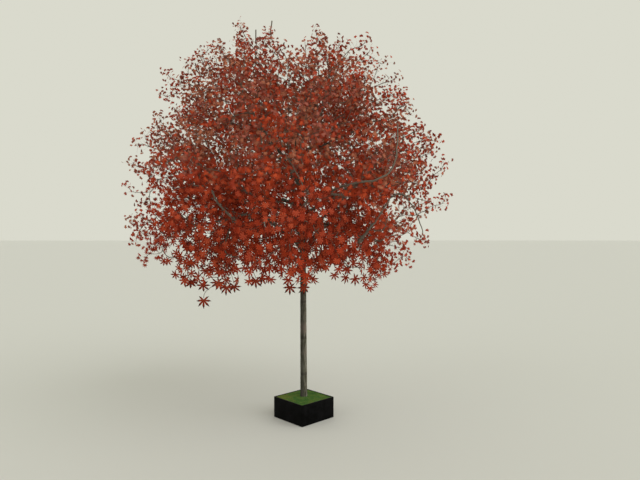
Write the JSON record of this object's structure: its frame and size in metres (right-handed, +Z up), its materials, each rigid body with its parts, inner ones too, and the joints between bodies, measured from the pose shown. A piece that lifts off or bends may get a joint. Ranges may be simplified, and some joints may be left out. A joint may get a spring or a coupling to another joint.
{
  "type": "maple bonsai",
  "caption": "Red-leaved maple bonsai grown as a slim-trunked standard with a round crown, in a square black box pot topped with moss.",
  "frame": {"origin": "centre of the pot's flat underside", "axes": "+Z up along the trunk; the pot's sides run along X and Y, and the view of the picture looks along (-0.72, 0.69, 0)"},
  "size_m": [0.6945, 0.7024, 0.9283],
  "materials": {
    "bark": "dull grey-brown young bark with faint vertical furrows and olive shadows",
    "foliage": "matt autumn-red palmate leaves, orange-red at the heart and dark maroon at the lobe tips",
    "moss": "short dense green moss, matt",
    "soil": "damp dark potting soil, matt, hidden under the moss",
    "pot_glaze": "satin black glaze with faint mottling"
  },
  "bodies": {
    "root": {"bough_1": "bark", "bough_2": "bark", "bough_3": "bark", "bough_4": "bark", "bough_5": "bark", "bough_6": "bark", "bough_7": "bark", "bough_8": "bark", "foliage_high_1": "foliage", "foliage_high_2": "foliage", "foliage_high_3": "foliage", "foliage_high_4": "foliage", "foliage_high_5": "foliage", "foliage_high_6": "foliage", "foliage_low_1": "foliage", "foliage_low_2": "foliage", "foliage_low_3": "foliage", "foliage_low_4": "foliage", "foliage_low_5": "foliage", "foliage_low_6": "foliage", "foliage_low_7": "foliage", "foliage_middle_1": "foliage", "foliage_middle_2": "foliage", "foliage_middle_3": "foliage", "foliage_middle_4": "foliage", "foliage_middle_5": "foliage", "foliage_middle_6": "foliage", "foliage_middle_7": "foliage", "foliage_middle_8": "foliage", "foliage_top_1": "foliage", "foliage_top_2": "foliage", "foliage_top_3": "foliage", "foliage_top_4": "foliage", "high_bough_1": "bark", "high_bough_2": "bark", "high_bough_3": "bark", "high_bough_4": "bark", "high_bough_5": "bark", "high_bough_6": "bark", "leader": "bark", "low_bough_1": "bark", "low_bough_2": "bark", "low_bough_3": "bark", "low_bough_4": "bark", "low_bough_5": "bark", "low_bough_6": "bark", "low_bough_7": "bark", "moss": "moss", "pot": "pot_glaze", "soil": "soil", "top_bough_1": "bark", "top_bough_2": "bark", "top_bough_3": "bark", "trunk": "bark"}
  },
  "joints": []
}
